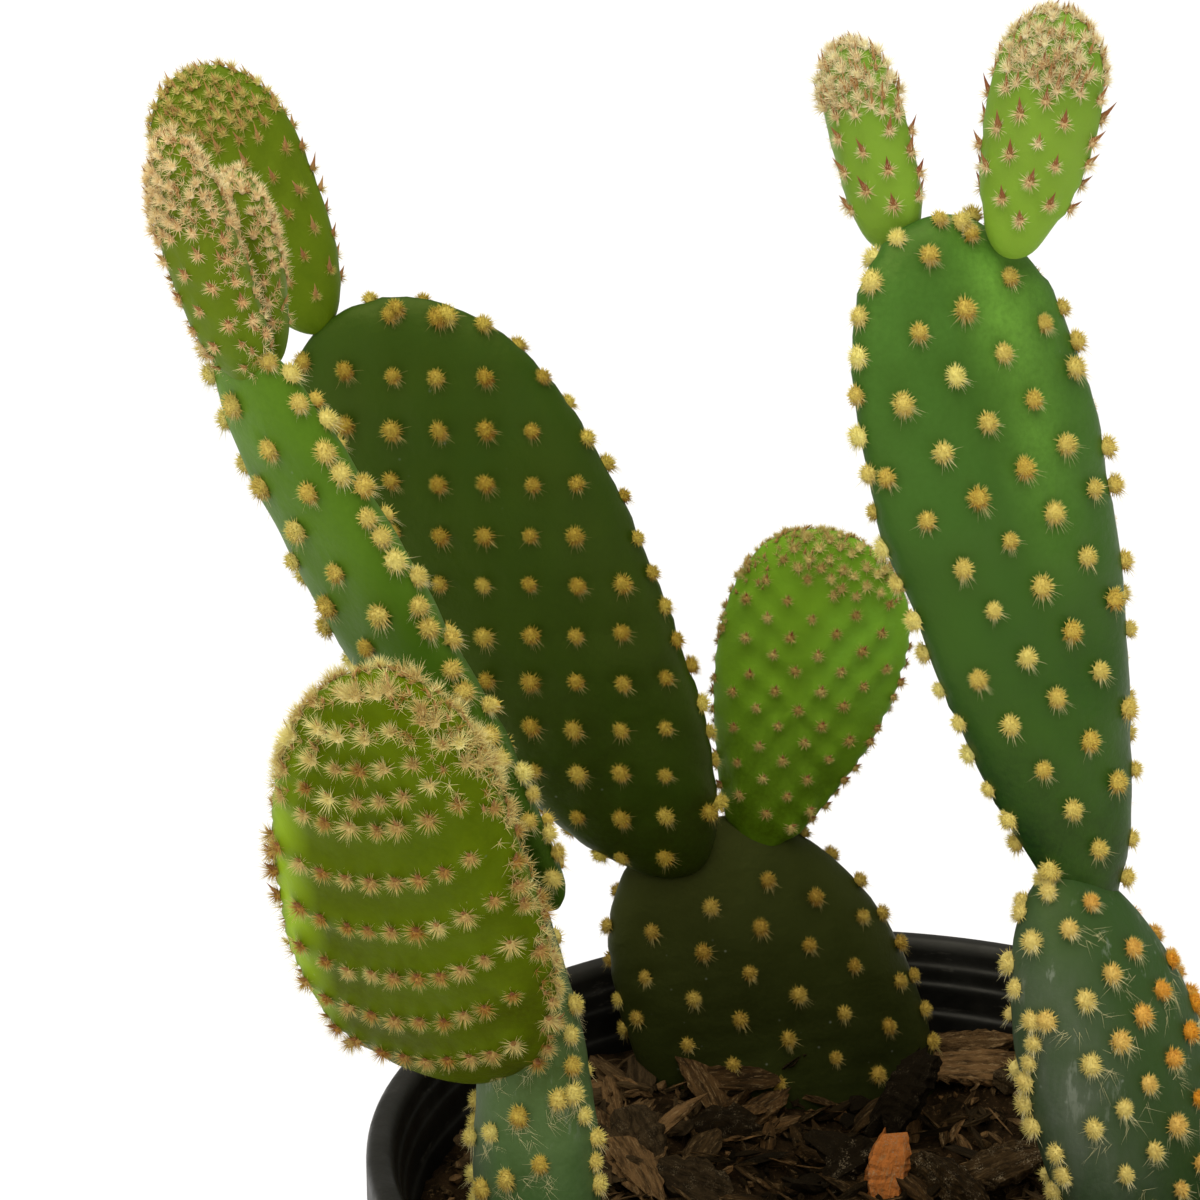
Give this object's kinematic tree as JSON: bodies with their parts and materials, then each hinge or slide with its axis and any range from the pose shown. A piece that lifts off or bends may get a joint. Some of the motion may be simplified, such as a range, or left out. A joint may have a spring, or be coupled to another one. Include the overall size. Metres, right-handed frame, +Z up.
{
  "type": "potted paddle cactus",
  "caption": "Paddle cactus with flat tufted pads and young tip pads, standing in bark potting mix in a round black plastic nursery pot.",
  "frame": {"origin": "centre of the pot's flat underside, on the pot's axis", "axes": "+Z up along the pot's axis, +X to the plant's right as seen from the front, +Y towards its back"},
  "size_m": [0.1881, 0.155, 0.3092],
  "materials": {
    "pot_plastic": "satin black, lightly scuffed",
    "bark_mix": "rough bark chips and grit",
    "dark_skin": "matt waxy skin with golden tufts",
    "mid_skin": "waxy skin with golden tufts",
    "grey_skin": "greyed old skin with orange tufts",
    "young_skin": "fresh skin with small leaf cones and cream wool"
  },
  "bodies": {
    "root": {"pot": "pot_plastic", "potting_mix": "bark_mix", "back_basal_pad": "dark_skin", "back_tall_pad": "dark_skin", "back_tip_pad": "young_skin", "back_small_pad": "young_skin", "left_basal_pad": "grey_skin", "left_tall_pad": "mid_skin", "left_tip_pad": "young_skin", "left_rear_tip_pad": "young_skin", "left_front_pad": "young_skin", "right_basal_pad": "grey_skin", "right_tall_pad": "mid_skin", "right_tip_pad_a": "young_skin", "right_tip_pad_b": "young_skin"}
  },
  "joints": []
}
